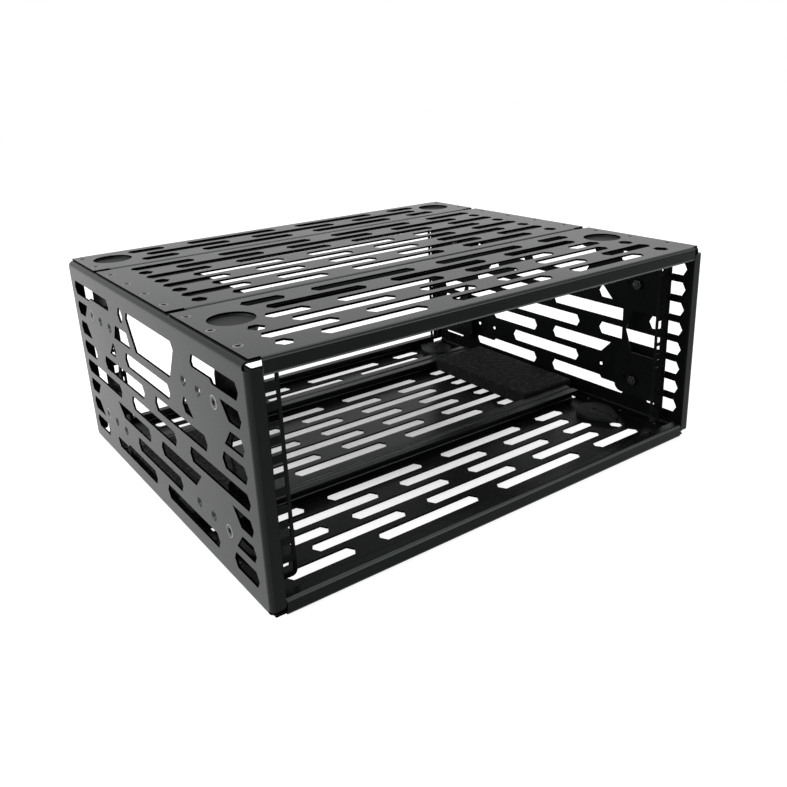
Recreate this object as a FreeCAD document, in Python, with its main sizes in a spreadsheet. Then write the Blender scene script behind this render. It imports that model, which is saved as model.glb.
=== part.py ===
import FreeCAD, Part
import math
import os
import Sketcher
from types import SimpleNamespace

# Rack frame, four units high, folded from slotted sheet.
# X runs right along the open front, Y runs back into the frame and Z is up.
# The origin is at the middle of the footprint, on the surface that the frame stands on.

doc = FreeCAD.newDocument("RackFrame")

# Driving sizes, in millimetres
sizes = {
    "frameWidth": 524.0,
    "frameDepth": 448.0,
    "frameHeight": 216.0,
    "sheet": 2.0,
    "fit": 0.3,
    # cover panels
    "frontPanelDepth": 157.5,
    "rearPanelDepth": 88.0,
    "coverInset": 5.0,
    "coverBend": 1.5,
    "coverFlange": 15.0,
    "coverLip": 11.5,
    "seamGap": 0.6,
    "seamNotch": 4.2,
    "seamFlangeGap": 4.7,
    "endFlangeGap": 1.0,
    # slot pattern
    "slotHeight": 15.0,
    "slotTip": 4.3,
    "rowPitch": 22.8,
    "centreSlotEnd": 58.0,
    "longSlotStart": 86.0,
    "longSlotEnd": 187.5,
    "shortSlotStart": 211.5,
    "innerSlotStart": 14.0,
    "innerSlotEnd": 130.5,
    "outerSlotStart": 157.5,
    "outerSlotEnd": 227.0,
    "trimmedSlotEnd": 200.5,
    # side panels
    "sideBend": 3.0,
    "topFlange": 16.7,
    "endFlange": 13.0,
    "cornerRelief": 6.0,
    "flangeCorner": 3.0,
    "sideSlotEnd": 207.5,
    "sideLongStart": 90.0,
    "sideCentreEnd": 59.5,
    "sideInnerStart": 14.0,
    "sideInnerEnd": 134.0,
    "sideShortStart": 162.5,
    "frontTopSlotStart": 118.0,
    "stepStart": 159.0,
    "lowStepStart": 95.0,
    "stepHeight": 3.6,
    "slantLong": 171.0,
    "slantShort": 184.0,
    "wedgeStart": 88.0,
    "wedgeShort": 95.0,
    "wedgeLong": 110.0,
    "gripCentre": -21.5,
    "gripHalfWidth": 60.5,
    "gripRise": 7.0,
    "gripDrop": 29.5,
    "gripTopInset": 4.2,
    "gripSlope": 17.0,
    "holeDiameter": 10.5,
    "holePitch": 30.5,
    # rack rails
    "railOpening": 450.0,
    "railStandOff": 12.4,
    "railSetBack": 24.0,
    "railDepth": 70.0,
    "railFloorGap": 16.0,
    "railEndRadius": 5.0,
    "railBend": 1.5,
    "webInset": 15.0,
    "webStart": 12.0,
    "webCorner": 10.0,
    "webHollow": 7.5,
    "webHollowHalf": 24.0,
    "windowHalfHeight": 25.0,
    "windowStart": 10.0,
    "windowBar": 12.0,
    "windowTip": 9.5,
    "rackUnit": 44.45,
    "rackUnits": 4,
    "squareHole": 9.5,
    "holeSpan": 465.1,
    "edgeToHole": 6.35,
    "holeStep": 15.875,
    "railScrewSetBack": 66.0,
    "railScrewDiameter": 6.0,
    "railHeadDiameter": 11.8,
    "railSpacerDiameter": 14.0,
    "nutFlats": 10.0,
    "nutHeight": 5.0,
    "spareHoleOffset": 14.0,
    "spareHoleDiameter": 5.0,
    # cover screws
    "screwInset": 12.5,
    "screwDiameter": 4.0,
    "screwLength": 5.0,
    "screwPitch": 49.5,
    "firstScrewSetBack": 36.2,
    "screwSink": 0.1,
    # corner cups under the round openings
    "cupSide": 38.5,
    "frontCupSetBack": 103.5,
    "rearCupSetBack": 40.0,
    "cupOpening": 40.5,
    "cupWall": 1.25,
    "cupHeight": 6.0,
    "cupFloor": 1.3,
    "cupTail": 27.0,
    "cupTailRadius": 7.5,
    # foam pads
    "padWidth": 83.0,
    "padSideGap": 6.0,
    "padEndGap": 0.5,
    "padHeight": 17.7,
    "padLift": 3.4,
}

sheet_object = doc.addObject("Spreadsheet::Sheet", "Sizes")
for number, (name, value) in enumerate(sizes.items(), start=1):
    sheet_object.set(f"A{number}", name)
    sheet_object.set(f"B{number}", str(value))
    sheet_object.setAlias(f"B{number}", name)
doc.recompute()


class Size:
    """A value in millimetres, kept together with the sheet formula that gives it."""

    def __init__(self, value, formula):
        self.value = value
        self.formula = formula

    def join(self, other, sign, value):
        return Size(value, f"({self.formula} {sign} {size(other).formula})")

    def __add__(self, other):
        return self.join(other, "+", self.value + size(other).value)

    def __sub__(self, other):
        return self.join(other, "-", self.value - size(other).value)

    def __mul__(self, other):
        return self.join(other, "*", self.value * size(other).value)

    def __truediv__(self, other):
        return self.join(other, "/", self.value / size(other).value)

    def __neg__(self):
        return Size(-self.value, f"(0 - {self.formula})")


def size(value):
    return value if isinstance(value, Size) else Size(float(value), repr(value))


s = SimpleNamespace(**{name: Size(float(value), f"Sizes.{name}") for name, value in sizes.items()})

# Places worked out from the driving sizes
half_width = s.frameWidth / 2
half_depth = s.frameDepth / 2
middle_height = s.frameHeight / 2
front_seam = s.frontPanelDepth - half_depth
rear_seam = half_depth - s.rearPanelDepth
cover_half_width = half_width - s.coverInset
flange_edge = half_width - s.topFlange
screw_x = half_width - s.screwInset
cup_x = half_width - s.cupSide
front_cup_y = s.frontCupSetBack - half_depth
rear_cup_y = half_depth - s.rearCupSetBack
rail_outer = half_width - s.sheet - s.railStandOff
rail_face = half_depth - s.railSetBack
rail_back = rail_face - s.railDepth
rail_screw_y = half_depth - s.railScrewSetBack
cover_head = s.screwDiameter + (s.sheet - s.screwSink) * 2
fixing_rise = s.rowPitch * 2.5

# Small round holes and fasteners have flats, so that the many of them stay light
cover_sides = 8
rail_sides = 12
cup_sides = 24
countersink = -45

# Height of each slot row of the side panels, counted from the top
side_rows = [middle_height + s.rowPitch * (3.5 - number) for number in range(8)]


def bind(target, path, value):
    target.setExpression(path, size(value).formula)


def new_body(name):
    body = doc.addObject("PartDesign::Body", name)
    body.Label = name
    return body


def origin_item(body, role):
    return [item for item in body.Origin.OriginFeatures if item.Role == role][0]


def new_sketch(body, name, plane, offset):
    """A sketch parallel to one of the body's origin planes, at a distance along its normal."""
    sketch = body.newObject("Sketcher::SketchObject", name)
    sketch.AttachmentSupport = [(origin_item(body, plane), "")]
    sketch.MapMode = "FlatFace"
    bind(sketch, "AttachmentOffset.Base.z", offset)
    return sketch


def fix_point(sketch, constraints, formulas, geometry, position, x, y):
    """Ties one point of the sketch to the origin by two distances."""
    for kind, distance in (("DistanceX", x), ("DistanceY", y)):
        formulas[len(constraints)] = distance.formula
        constraints.append(Sketcher.Constraint(kind, -1, 1, geometry, position, distance.value))


def apply_constraints(sketch, constraints, formulas):
    first = sketch.ConstraintCount
    sketch.addConstraint(constraints)
    for number, formula in formulas.items():
        sketch.setExpression(f"Constraints[{first + number}]", formula)


def draw_outlines(sketch, outlines):
    """Closed outlines of straight lines and bends.

    A point is (x, y), or (x, y, radius, turn) where a bend of that radius leads to it;
    the turn is 1 for a bend to the left and -1 for a bend to the right.
    """
    geometry, constraints, formulas = [], [], {}
    for outline in outlines:
        corners = [(size(item[0]), size(item[1])) for item in outline]
        first = len(geometry)
        count = len(corners)
        ends = []
        for number in range(count):
            following = (number + 1) % count
            start = FreeCAD.Vector(corners[number][0].value, corners[number][1].value, 0)
            end = FreeCAD.Vector(corners[following][0].value, corners[following][1].value, 0)
            if len(outline[following]) == 2:
                geometry.append(Part.LineSegment(start, end))
                ends.append((1, 2))
                continue
            radius, turn = size(outline[following][2]), outline[following][3]
            chord = end - start
            rise = math.sqrt(max(radius.value ** 2 - (chord.Length / 2) ** 2, 0))
            left = FreeCAD.Vector(-chord.y, chord.x, 0).normalize()
            centre = (start + end) / 2 + left * (rise * turn)
            angles = [math.atan2(point.y - centre.y, point.x - centre.x) for point in (start, end)]
            if turn < 0:
                angles.reverse()
            circle = Part.Circle(centre, FreeCAD.Vector(0, 0, 1), radius.value)
            geometry.append(Part.ArcOfCircle(circle, angles[0], angles[1]))
            ends.append((1, 2) if turn > 0 else (2, 1))
            formulas[len(constraints)] = radius.formula
            constraints.append(Sketcher.Constraint("Radius", len(geometry) - 1, radius.value))
        for number in range(count):
            following = (number + 1) % count
            constraints.append(Sketcher.Constraint(
                "Coincident", first + number, ends[number][1], first + following, ends[following][0]))
            fix_point(sketch, constraints, formulas, first + number, ends[number][0], *corners[number])
    sketch.addGeometry(geometry)
    apply_constraints(sketch, constraints, formulas)


def draw_circles(sketch, circles):
    """Circles, each given as (x, y, radius)."""
    constraints, formulas = [], {}
    for x, y, radius in circles:
        x, y, radius = size(x), size(y), size(radius)
        centre = FreeCAD.Vector(x.value, y.value, 0)
        index = sketch.addGeometry(Part.Circle(centre, FreeCAD.Vector(0, 0, 1), radius.value))
        fix_point(sketch, constraints, formulas, index, 3, x, y)
        formulas[len(constraints)] = radius.formula
        constraints.append(Sketcher.Constraint("Radius", index, radius.value))
    apply_constraints(sketch, constraints, formulas)


def rectangle(x0, x1, y0, y1):
    return [(x0, y0), (x1, y0), (x1, y1), (x0, y1)]


def slot_outline(start, end, row):
    """A slot with pointed ends, like a stretched hexagon."""
    half = s.slotHeight / 2
    return [
        (start, row),
        (start + s.slotTip, row - half),
        (end - s.slotTip, row - half),
        (end, row),
        (end - s.slotTip, row + half),
        (start + s.slotTip, row + half),
    ]


def flats(x, y, reach, sides):
    """A round outline drawn with flats, from its centre and the distance to each flat."""
    corner = size(reach) / math.cos(math.pi / sides)
    turns = [math.pi * (2 * number + 1) / sides for number in range(sides)]
    return [(size(x) + corner * math.cos(turn), size(y) + corner * math.sin(turn)) for turn in turns]


def flip(outline):
    """The same outline on the other side of the sketch's upright axis."""
    return [(-size(item[0]), *item[1:]) for item in outline]


def add_pad(body, sketch, length, symmetric=False, reverse=False, taper=0):
    pad = body.newObject("PartDesign::Pad", sketch.Name + "_pad")
    pad.Profile = sketch
    pad.Reversed = reverse
    pad.TaperAngle = taper
    if symmetric:
        pad.SideType = "Symmetric"
    bind(pad, "Length", length)
    return pad


def add_pocket(body, sketch, depth=None, reverse=False, taper=0):
    pocket = body.newObject("PartDesign::Pocket", sketch.Name + "_cut")
    pocket.Profile = sketch
    pocket.Reversed = reverse
    pocket.TaperAngle = taper
    if depth is None:
        pocket.Type = "ThroughAll"
    else:
        bind(pocket, "Length", depth)
    return pocket


def cut_outlines(body, name, plane, offset, outlines, depth=None):
    sketch = new_sketch(body, name, plane, offset)
    draw_outlines(sketch, outlines)
    return add_pocket(body, sketch, depth)


def add_fillet(body, name, radius, wanted):
    """Rounds every edge of the body whose middle and direction suit the test."""
    doc.recompute()
    feature = body.Tip
    chosen = []
    for number, edge in enumerate(feature.Shape.Edges, start=1):
        if edge.Curve.TypeId != "Part::GeomLine":
            continue
        middle = edge.CenterOfMass
        along = edge.Vertexes[-1].Point - edge.Vertexes[0].Point
        if wanted(middle, along):
            chosen.append(f"Edge{number}")
    fillet = body.newObject("PartDesign::Fillet", name)
    fillet.Base = (feature, chosen)
    bind(fillet, "Radius", radius)
    return fillet


def near(value, place):
    return abs(value - size(place).value) < 0.01


def repeat(body, feature, name, axis, spacing, count):
    """Copies a cut along one of the body's origin axes."""
    pattern = body.newObject("PartDesign::LinearPattern", name)
    pattern.Originals = [feature]
    pattern.Direction = (origin_item(body, axis), [""])
    pattern.Mode = "Spacing"
    bind(pattern, "Offset", spacing)
    pattern.Occurrences = count
    body.Tip = pattern
    return pattern


def mirror(source, name, normal, base_path=None, base=None):
    """The mirror image of a piece, across a plane through the origin or at a given place."""
    image = doc.addObject("Part::Mirroring", name)
    image.Label = name
    image.Source = source
    image.Normal = normal
    if base_path:
        bind(image, base_path, base)
    return image


def mirror_across(source, name):
    return mirror(source, name, FreeCAD.Vector(1, 0, 0))


def mirror_down(source, name):
    return mirror(source, name, FreeCAD.Vector(0, 0, 1), "Base.z", middle_height)


# Cover panels: shallow channels with slots in staggered rows

def both_sides(slots, row):
    outlines = []
    for start, end in slots:
        outlines.append(slot_outline(start, end, row))
        outlines.append(flip(slot_outline(start, end, row)))
    return outlines


centre_row = [(s.longSlotStart, s.longSlotEnd)]
split_row = [(s.innerSlotStart, s.innerSlotEnd)]
short_slots = [(s.shortSlotStart, s.outerSlotEnd)]
outer_slots = [(s.outerSlotStart, s.outerSlotEnd)]
trimmed_slots = [(s.outerSlotStart, s.trimmedSlotEnd)]


def channel_outline(front, rear):
    """The folded section of a cover panel with its in-turned lips, seen from the side."""
    top = s.frameHeight
    low = top - s.coverFlange
    inner, outer = s.coverBend, s.coverBend + s.sheet
    under, over_lip = top - s.sheet, low + s.sheet
    return [
        (front + s.coverLip, low),
        (front + s.coverLip, over_lip),
        (front + outer, over_lip),
        (front + s.sheet, over_lip + inner, inner, -1),
        (front + s.sheet, under - inner),
        (front + outer, under, inner, -1),
        (rear - outer, under),
        (rear - s.sheet, under - inner, inner, -1),
        (rear - s.sheet, over_lip + inner),
        (rear - outer, over_lip, inner, -1),
        (rear - s.coverLip, over_lip),
        (rear - s.coverLip, low),
        (rear - outer, low),
        (rear, low + outer, outer, 1),
        (rear, top - outer),
        (rear - outer, top, outer, 1),
        (front + outer, top),
        (front, top - outer, outer, 1),
        (front, low + outer),
        (front + outer, low, outer, 1),
    ]


def cover_panel(name, front, rear, rows, row_sets, screw_rows, cup_y=None):
    """One cover panel of the top.

    row_sets lists (slots, with a centre slot, first row, number of rows), where every
    second row is cut. screw_rows lists the screws' places along Y.
    """
    body = new_body(name)
    top = s.frameHeight
    profile = new_sketch(body, name + "_section", "YZ_Plane", 0)
    draw_outlines(profile, [channel_outline(front, rear)])
    add_pad(body, profile, cover_half_width * 2, symmetric=True)

    over = s.sheet
    notches, lip_ends = [], []
    for edge, inward in ((front, 1), (rear, -1)):
        at_seam = not (near(edge.value, -half_depth) or near(edge.value, half_depth))
        keep = flange_edge - s.seamFlangeGap if at_seam else half_width - s.endFlange - s.endFlangeGap
        beyond = edge - over * inward
        notch = rectangle(keep, half_width + over, beyond, edge + s.seamNotch * inward)
        lip_end = rectangle(keep, half_width + over, beyond, edge + (s.coverLip + over) * inward)
        notches += [notch, flip(notch)]
        lip_ends += [lip_end, flip(lip_end)]
    cut_outlines(body, name + "_notches", "XY_Plane", top, notches)
    cut_outlines(body, name + "_lip_ends", "XY_Plane", top - s.sheet - s.coverBend, lip_ends)

    first_row = (front + rear) / 2 - s.rowPitch * ((rows - 1) / 2)
    for number, (slots, centre_slot, start, count) in enumerate(row_sets):
        row = first_row + s.rowPitch * start
        outlines = both_sides(slots, row)
        if centre_slot:
            outlines.append(slot_outline(-s.centreSlotEnd, s.centreSlotEnd, row))
        cut = cut_outlines(body, f"{name}_slots{number}", "XY_Plane", top, outlines)
        if count > 1:
            repeat(body, cut, f"{name}_rows{number}", "Y_Axis", s.rowPitch * 2, count)

    if cup_y is not None:
        opening = new_sketch(body, name + "_openings", "XY_Plane", top)
        draw_circles(opening, [(cup_x, cup_y, s.cupOpening / 2), (-cup_x, cup_y, s.cupOpening / 2)])
        add_pocket(body, opening)

    sinks = new_sketch(body, name + "_screw_holes", "XY_Plane", top)
    draw_outlines(sinks, [flats(side, screw_rows[0], cover_head / 2 + s.fit, cover_sides)
                          for side in (screw_x, -screw_x)])
    sink = add_pocket(body, sinks, s.sheet + s.fit / 3, taper=countersink)
    repeat(body, sink, name + "_screw_rows", "Y_Axis", s.screwPitch, len(screw_rows))
    return body


screw_places = [s.firstScrewSetBack - half_depth + s.screwPitch * number for number in range(9)]
front_screws, middle_screws, rear_screws = screw_places[:3], screw_places[3:7], screw_places[7:]
half_seam = s.seamGap / 2

top_front_cover = cover_panel(
    "top_front_cover", -half_depth, front_seam - half_seam, 6,
    [(centre_row, True, 0, 3), (short_slots, False, 0, 2), (split_row, False, 1, 3),
     (outer_slots, False, 1, 1), (trimmed_slots, False, 3, 2)],
    front_screws, front_cup_y)
top_middle_cover = cover_panel(
    "top_middle_cover", front_seam + half_seam, rear_seam - half_seam, 8,
    [(centre_row + short_slots, True, 0, 4), (split_row + outer_slots, False, 1, 4)],
    middle_screws)
top_rear_cover = cover_panel(
    "top_rear_cover", rear_seam + half_seam, half_depth, 3,
    [(split_row + trimmed_slots, False, 0, 2), (centre_row, True, 1, 1)],
    rear_screws, rear_cup_y)
bottom_front_cover = mirror_down(top_front_cover, "bottom_front_cover")
bottom_middle_cover = mirror_down(top_middle_cover, "bottom_middle_cover")
bottom_rear_cover = mirror_down(top_rear_cover, "bottom_rear_cover")


# Side panels: folded on all four edges, with open corners

def slanted_slot(end, top_start, low_start, row):
    """A slot at the end of a row whose inner end is cut on the slant."""
    half = s.slotHeight / 2
    return [
        (low_start, row - half),
        (end - s.slotTip, row - half),
        (end, row),
        (end - s.slotTip, row + half),
        (top_start, row + half),
    ]


def slot_with_high_floor(start, end, step, row):
    """A top slot whose floor is raised between its inner end and the step."""
    half = s.slotHeight / 2
    floor = row - half + s.stepHeight
    return [
        (start, row),
        (start + s.slotTip / 2, floor),
        (step - s.stepHeight, floor),
        (step, row - half),
        (end - s.slotTip, row - half),
        (end, row),
        (end - s.slotTip, row + half),
        (start + s.slotTip, row + half),
    ]


def slot_with_low_roof(start, end, step, row):
    """A bottom slot whose roof is lowered between the step and its outer end."""
    half = s.slotHeight / 2
    roof = row + half - s.stepHeight
    return [
        (start, row),
        (start + s.slotTip, row - half),
        (end - s.slotTip, row - half),
        (end, row),
        (end - s.slotTip / 2, roof),
        (step + s.stepHeight, roof),
        (step, row + half),
        (start + s.slotTip, row + half),
    ]


def side_row_outlines(stepped_front):
    """Every slot of a side panel; outlines for the front half are flipped from the rear half."""
    half = s.slotHeight / 2
    top_row, grip_row, wedge_row, upper_row, lower_row, mirror_row, centre_row_low, bottom_row = side_rows
    halves = [
        slanted_slot(s.sideSlotEnd, s.slantLong, s.slantShort, grip_row),
        slanted_slot(s.sideSlotEnd, s.slantShort, s.slantLong, wedge_row),
        [(s.wedgeStart, wedge_row), (s.wedgeStart + s.slotTip, wedge_row - half),
         (s.wedgeLong, wedge_row - half), (s.wedgeShort, wedge_row + half),
         (s.wedgeStart + s.slotTip, wedge_row + half)],
        slot_outline(s.sideInnerStart, s.sideInnerEnd, upper_row),
        slot_outline(s.sideShortStart, s.sideSlotEnd, upper_row),
        slot_outline(s.sideLongStart, s.sideSlotEnd, lower_row),
        slanted_slot(s.sideSlotEnd, s.slantLong, s.slantShort, mirror_row),
        [(s.sideInnerStart, mirror_row), (s.sideInnerStart + s.slotTip, mirror_row - half),
         (s.wedgeShort, mirror_row - half), (s.wedgeLong, mirror_row + half),
         (s.sideInnerStart + s.slotTip, mirror_row + half)],
        slanted_slot(s.sideSlotEnd, s.slantShort, s.slantLong, centre_row_low),
        slot_outline(s.sideShortStart, s.sideSlotEnd, bottom_row),
    ]
    outlines = halves + [flip(outline) for outline in halves]
    for row in (wedge_row, lower_row, centre_row_low):
        outlines.append(slot_outline(-s.sideCentreEnd, s.sideCentreEnd, row))

    outlines.append(slot_with_high_floor(s.sideLongStart, s.sideSlotEnd, s.stepStart, top_row))
    outlines.append(flip(slot_with_high_floor(s.frontTopSlotStart, s.sideSlotEnd, s.stepStart, top_row)))
    low_slot = slot_with_low_roof(s.sideInnerStart, s.sideInnerEnd, s.lowStepStart, bottom_row)
    outlines.append(low_slot)
    plain_slot = slot_outline(s.sideInnerStart, s.sideInnerEnd, bottom_row)
    outlines.append(flip(low_slot if stepped_front else plain_slot))

    # hand opening, with a short slot and a slanted slot between it and the rear
    grip_rear = s.gripCentre + s.gripHalfWidth
    grip_front = s.gripCentre - s.gripHalfWidth
    grip_top, grip_floor = top_row + s.gripRise, top_row - s.gripDrop
    outlines.append([
        (grip_front + s.gripSlope, grip_floor), (grip_rear - s.gripSlope, grip_floor),
        (grip_rear, top_row), (grip_rear - s.gripTopInset, grip_top),
        (grip_front + s.gripTopInset, grip_top), (grip_front, top_row)])
    web = s.longSlotStart - s.centreSlotEnd
    short_start = grip_rear + s.slotTip * 2
    outlines.append(slot_outline(short_start, s.sideLongStart - web, top_row))
    slant = s.gripSlope * s.slotHeight / (s.gripRise + s.gripDrop)
    outlines.append([
        (short_start - s.gripSlope + slant, grip_row - half), (s.sideLongStart - s.slotTip, grip_row - half),
        (s.sideLongStart - s.slotTip * 3, grip_row + half), (short_start - s.slotTip, grip_row + half)])
    return outlines


def side_panel(name, stepped_front):
    """The left side panel, with its outer face at -X."""
    body = new_body(name)
    outer_x = -half_width
    inner_x = s.topFlange - half_width
    low, high = s.sheet, s.frameHeight - s.sheet
    block = new_sketch(body, name + "_outline", "YZ_Plane", outer_x)
    draw_outlines(block, [rectangle(-half_depth, half_depth, low, high)])
    add_pad(body, block, s.topFlange)
    cut_outlines(body, name + "_inside", "YZ_Plane", inner_x,
                 [rectangle(s.sheet - half_depth, half_depth - s.sheet, low + s.sheet, high - s.sheet)],
                 s.topFlange - s.sheet)
    add_fillet(body, name + "_outer_bends", s.sideBend + s.sheet,
               lambda middle, along: near(middle.x, outer_x) and abs(along.x) < 0.01)
    add_fillet(body, name + "_inner_bends", s.sideBend,
               lambda middle, along: near(middle.x, outer_x + s.sheet) and abs(along.x) < 0.01)

    over = s.sheet
    relief_y = half_depth - s.cornerRelief
    corners = []
    for z0, z1 in ((low - over, low + s.cornerRelief), (high - s.cornerRelief, high + over)):
        corner = rectangle(relief_y, half_depth + over, z0, z1)
        corners += [corner, flip(corner)]
    cut_outlines(body, name + "_corners", "YZ_Plane", inner_x, corners)
    trim = rectangle(relief_y, half_depth + over, low - over, high + over)
    cut_outlines(body, name + "_end_flanges", "YZ_Plane", inner_x, [trim, flip(trim)],
                 s.topFlange - s.endFlange)

    def free_corner(middle, along):
        end_corner = near(middle.x, s.endFlange - half_width) and abs(along.y) > 0.01
        top_corner = near(middle.x, inner_x) and abs(along.z) > 0.01
        return end_corner or top_corner

    add_fillet(body, name + "_flange_ends", s.flangeCorner, free_corner)
    for number, outline in enumerate(side_row_outlines(stepped_front)):
        cut_outlines(body, f"{name}_slot{number}", "YZ_Plane", inner_x, [outline])

    fixings = []
    for z in (middle_height + fixing_rise, middle_height - fixing_rise):
        for number in (1, 2):
            y = rail_screw_y - s.holePitch * number
            fixings += [(y, z, s.holeDiameter / 2), (-y, z, s.holeDiameter / 2)]
    holes = new_sketch(body, name + "_holes", "YZ_Plane", inner_x)
    draw_circles(holes, fixings)
    add_pocket(body, holes)

    thread = cut_outlines(body, name + "_threads", "XY_Plane", s.frameHeight,
                          [flats(-screw_x, screw_places[0], s.screwDiameter / 2, cover_sides)])
    repeat(body, thread, name + "_thread_row", "Y_Axis", s.screwPitch, len(screw_places))

    sinks = new_sketch(body, name + "_screw_holes", "YZ_Plane", outer_x)
    draw_outlines(sinks, [flats(y, z, s.railHeadDiameter / 2 + s.fit, rail_sides)
                          for y in (rail_screw_y, -rail_screw_y)
                          for z in (middle_height + fixing_rise, middle_height - fixing_rise)])
    add_pocket(body, sinks, s.sheet + s.fit / 3, reverse=True, taper=countersink)
    return body


left_side_panel = side_panel("left_side_panel", False)
right_panel_blank = side_panel("right_panel_blank", True)
right_side_panel = mirror_across(right_panel_blank, "right_side_panel")


# Rack rails: a punched front strip and a wall that stands off from the side panel

def rack_rail(name):
    """The front left rail."""
    body = new_body(name)
    inner, outer = s.railBend, s.railBend + s.sheet
    edge = -s.railOpening / 2
    face = -rail_face
    section = new_sketch(body, name + "_section", "XY_Plane", s.railFloorGap)
    draw_outlines(section, [[
        (edge, face),
        (edge, face + s.sheet),
        (-rail_outer + s.sheet + inner, face + s.sheet),
        (-rail_outer + s.sheet, face + s.sheet + inner, inner, -1),
        (-rail_outer + s.sheet, -rail_back),
        (-rail_outer, -rail_back),
        (-rail_outer, face + outer),
        (-rail_outer + outer, face, outer, 1),
    ]])
    add_pad(body, section, s.frameHeight - s.railFloorGap * 2)
    add_fillet(body, name + "_strip_ends", s.railEndRadius,
               lambda middle, along: near(middle.x, edge) and abs(along.y) > 0.01)

    # wall cut back at top and bottom, hollowed at its edge and opened by a window
    over = s.sheet
    web_low = s.railFloorGap + s.webInset
    web_high = s.frameHeight - web_low
    web_front = face + s.webStart
    window_tip = -rail_back - s.windowBar
    window_low = middle_height - s.windowHalfHeight
    window_high = middle_height + s.windowHalfHeight
    hollow = s.webHollowHalf + s.webHollow
    cut_outlines(body, name + "_web", "YZ_Plane", edge, [
        rectangle(web_front, over - rail_back, s.railFloorGap - over, web_low),
        rectangle(web_front, over - rail_back, web_high, s.frameHeight - s.railFloorGap + over),
        [(over - rail_back, middle_height - hollow), (over - rail_back, middle_height + hollow),
         (-rail_back, middle_height + hollow), (-rail_back - s.webHollow, middle_height + s.webHollowHalf),
         (-rail_back - s.webHollow, middle_height - s.webHollowHalf), (-rail_back, middle_height - hollow)],
        [(face + s.windowStart, window_low), (window_tip - s.windowTip, window_low),
         (window_tip, middle_height), (window_tip - s.windowTip, window_high),
         (face + s.windowStart, window_high)],
    ])
    add_fillet(body, name + "_web_corners", s.webCorner,
               lambda middle, along: near(middle.y, -rail_back) and abs(along.x) > 0.01
               and (near(middle.z, web_low) or near(middle.z, web_high)))

    fixings = []
    for z in (middle_height + fixing_rise, middle_height - fixing_rise):
        fixings.append(flats(-rail_screw_y, z, (s.railScrewDiameter + s.fit) / 2, rail_sides))
        fixings.append(flats(s.spareHoleOffset - rail_screw_y, z, s.spareHoleDiameter / 2, cover_sides))
    cut_outlines(body, name + "_fixings", "YZ_Plane", edge, fixings)

    half = s.squareHole / 2
    centre = -s.holeSpan / 2
    first = middle_height - s.rackUnit * s.rackUnits / 2 + s.edgeToHole
    squares = [rectangle(centre - half, centre + half, z - half, z + half)
               for z in (first, first + s.holeStep, first + s.holeStep * 2)]
    cut = cut_outlines(body, name + "_square_holes", "XZ_Plane", rail_face, squares)
    repeat(body, cut, name + "_rack_units", "Z_Axis", s.rackUnit, int(sizes["rackUnits"]))
    return body


front_left_rail = rack_rail("front_left_rack_rail")
front_right_rail = mirror_across(front_left_rail, "front_right_rack_rail")
rear_left_rail = mirror(front_left_rail, "rear_left_rack_rail", FreeCAD.Vector(0, 1, 0))
rear_right_rail = mirror_across(rear_left_rail, "rear_right_rack_rail")


# Corner cups: shallow drop-shaped seats behind the round openings

def arc_corners(x, y, radius, start, end, steps):
    """Corners along an arc, from its centre, radius and first and last angles."""
    turns = [start + (end - start) * number / steps for number in range(steps + 1)]
    return [(x + radius * math.cos(turn), y + radius * math.sin(turn)) for turn in turns]


def corner_cup(name):
    """The cup at the front left of the floor, with its tail towards the front."""
    body = new_body(name)
    radius = s.cupOpening / 2 + s.cupWall
    slope = math.asin((radius.value - s.cupTailRadius.value) / s.cupTail.value)
    outline = new_sketch(body, name + "_outline", "XY_Plane", s.sheet)
    draw_outlines(outline, [
        arc_corners(-cup_x, front_cup_y, radius, -slope, math.pi + slope, 17)
        + arc_corners(-cup_x, front_cup_y - s.cupTail, s.cupTailRadius, math.pi + slope, 2 * math.pi - slope, 5)])
    add_pad(body, outline, s.cupHeight)
    recess = new_sketch(body, name + "_recess", "XY_Plane", s.sheet)
    draw_outlines(recess, [flats(-cup_x, front_cup_y, s.cupOpening / 2, cup_sides)])
    add_pocket(body, recess, s.cupFloor, reverse=True)
    return body


bottom_front_left_cup = corner_cup("bottom_front_left_cup")
bottom_rear_left_cup = mirror(bottom_front_left_cup, "bottom_rear_left_cup", FreeCAD.Vector(0, 1, 0),
                              "Base.y", (front_cup_y + rear_cup_y) / 2)
cups = [bottom_front_left_cup, bottom_rear_left_cup]
for end, cup in (("front", bottom_front_left_cup), ("rear", bottom_rear_left_cup)):
    right = mirror_across(cup, f"bottom_{end}_right_cup")
    cups.append(right)
    cups.append(mirror_down(cup, f"top_{end}_left_cup"))
    cups.append(mirror_down(right, f"top_{end}_right_cup"))


# Foam pads between the lips of the middle covers, two on the floor and two overhead

def part_box(name, x0, x1, y0, y1, z0, z1):
    box = doc.addObject("Part::Box", name)
    for path, value in (("Length", x1 - x0), ("Width", y1 - y0), ("Height", z1 - z0),
                        ("Placement.Base.x", x0), ("Placement.Base.y", y0), ("Placement.Base.z", z0)):
        bind(box, path, value)
    return box


pad_outer = half_width - s.padSideGap
pad_front = front_seam + half_seam + s.coverLip + s.padEndGap
pad_rear = rear_seam - half_seam - s.coverLip - s.padEndGap
pad_block = part_box("pad_block", -pad_outer, s.padWidth - pad_outer, pad_front, pad_rear,
                     s.sheet, s.sheet + s.padHeight)
pad_rebate = part_box("pad_rebate", -half_width, s.fit - flange_edge, -half_depth, half_depth,
                      size(0), s.sheet + s.padLift)
left_pad = doc.addObject("Part::Cut", "left_foam_pad")
left_pad.Label = "left_foam_pad"
left_pad.Base = pad_block
left_pad.Tool = pad_rebate
right_pad = mirror_across(left_pad, "right_foam_pad")
top_left_pad = mirror_down(left_pad, "top_left_foam_pad")
top_right_pad = mirror_down(right_pad, "top_right_foam_pad")


# Fasteners, each made once and set in groups of like ones

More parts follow.
